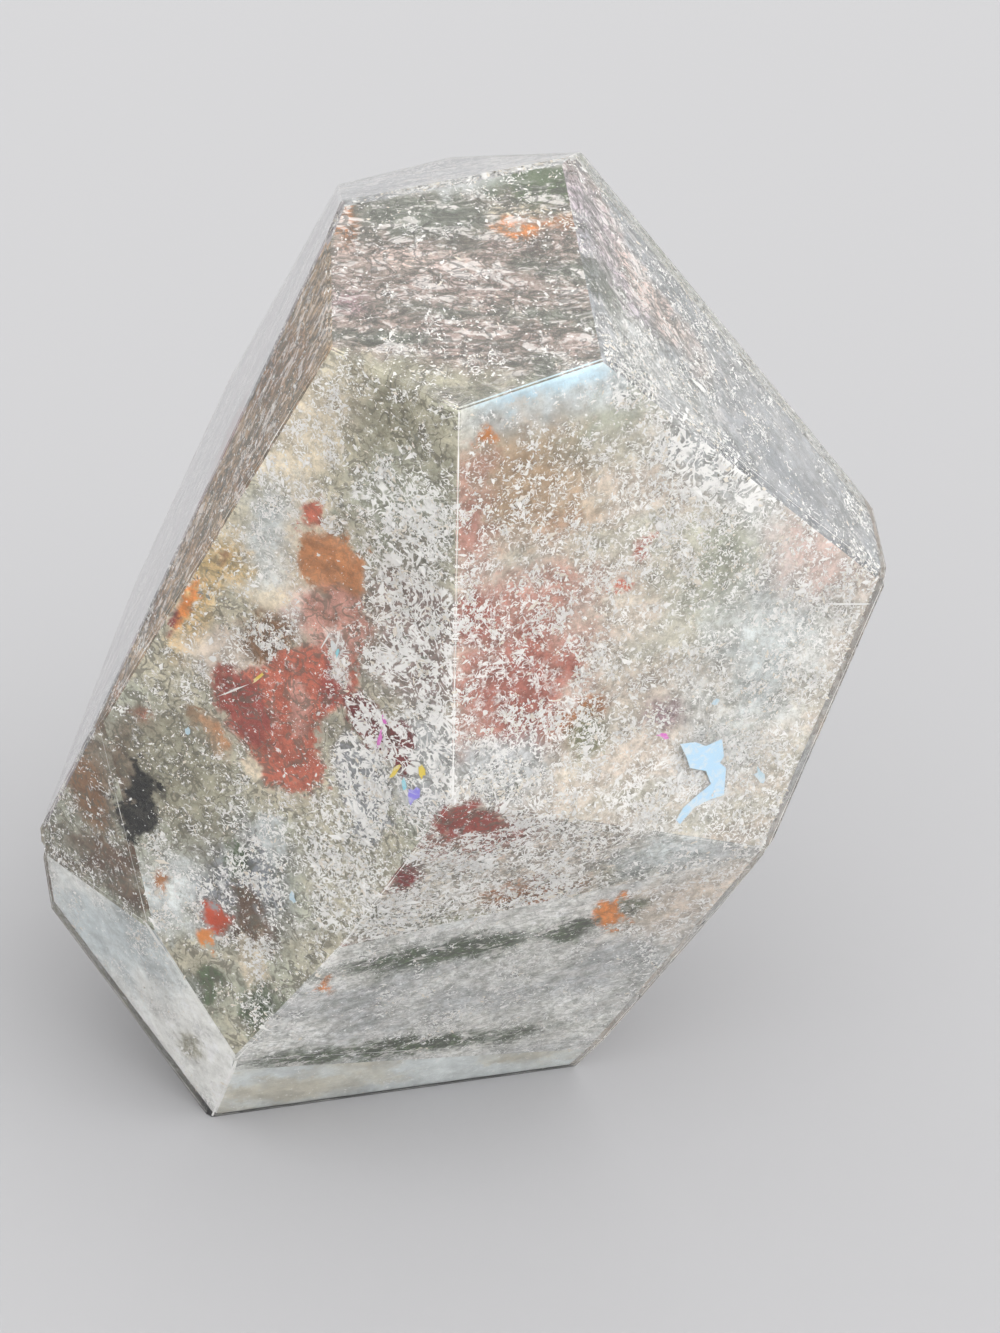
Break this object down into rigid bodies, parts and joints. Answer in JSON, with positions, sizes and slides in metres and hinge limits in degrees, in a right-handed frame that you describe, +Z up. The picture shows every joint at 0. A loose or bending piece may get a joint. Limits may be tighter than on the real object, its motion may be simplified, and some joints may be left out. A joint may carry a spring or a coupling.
{
  "type": "garden quartz",
  "caption": "Polished free-form clear quartz with flat cut facets and coloured mineral inclusions, standing upright on a small flat base.",
  "frame": {"origin": "centre of the stone's bounding box, at the height of its flat base", "axes": "+Z up, -Y towards the two large front facets, +X to the right as seen from the front"},
  "size_m": [0.0677, 0.0578, 0.0823],
  "materials": {
    "quartz": "polished clear quartz, clouded inside by white, beige, rust-red and grey-green inclusions"
  },
  "bodies": {
    "root": {"garden_quartz": "quartz"}
  },
  "joints": []
}
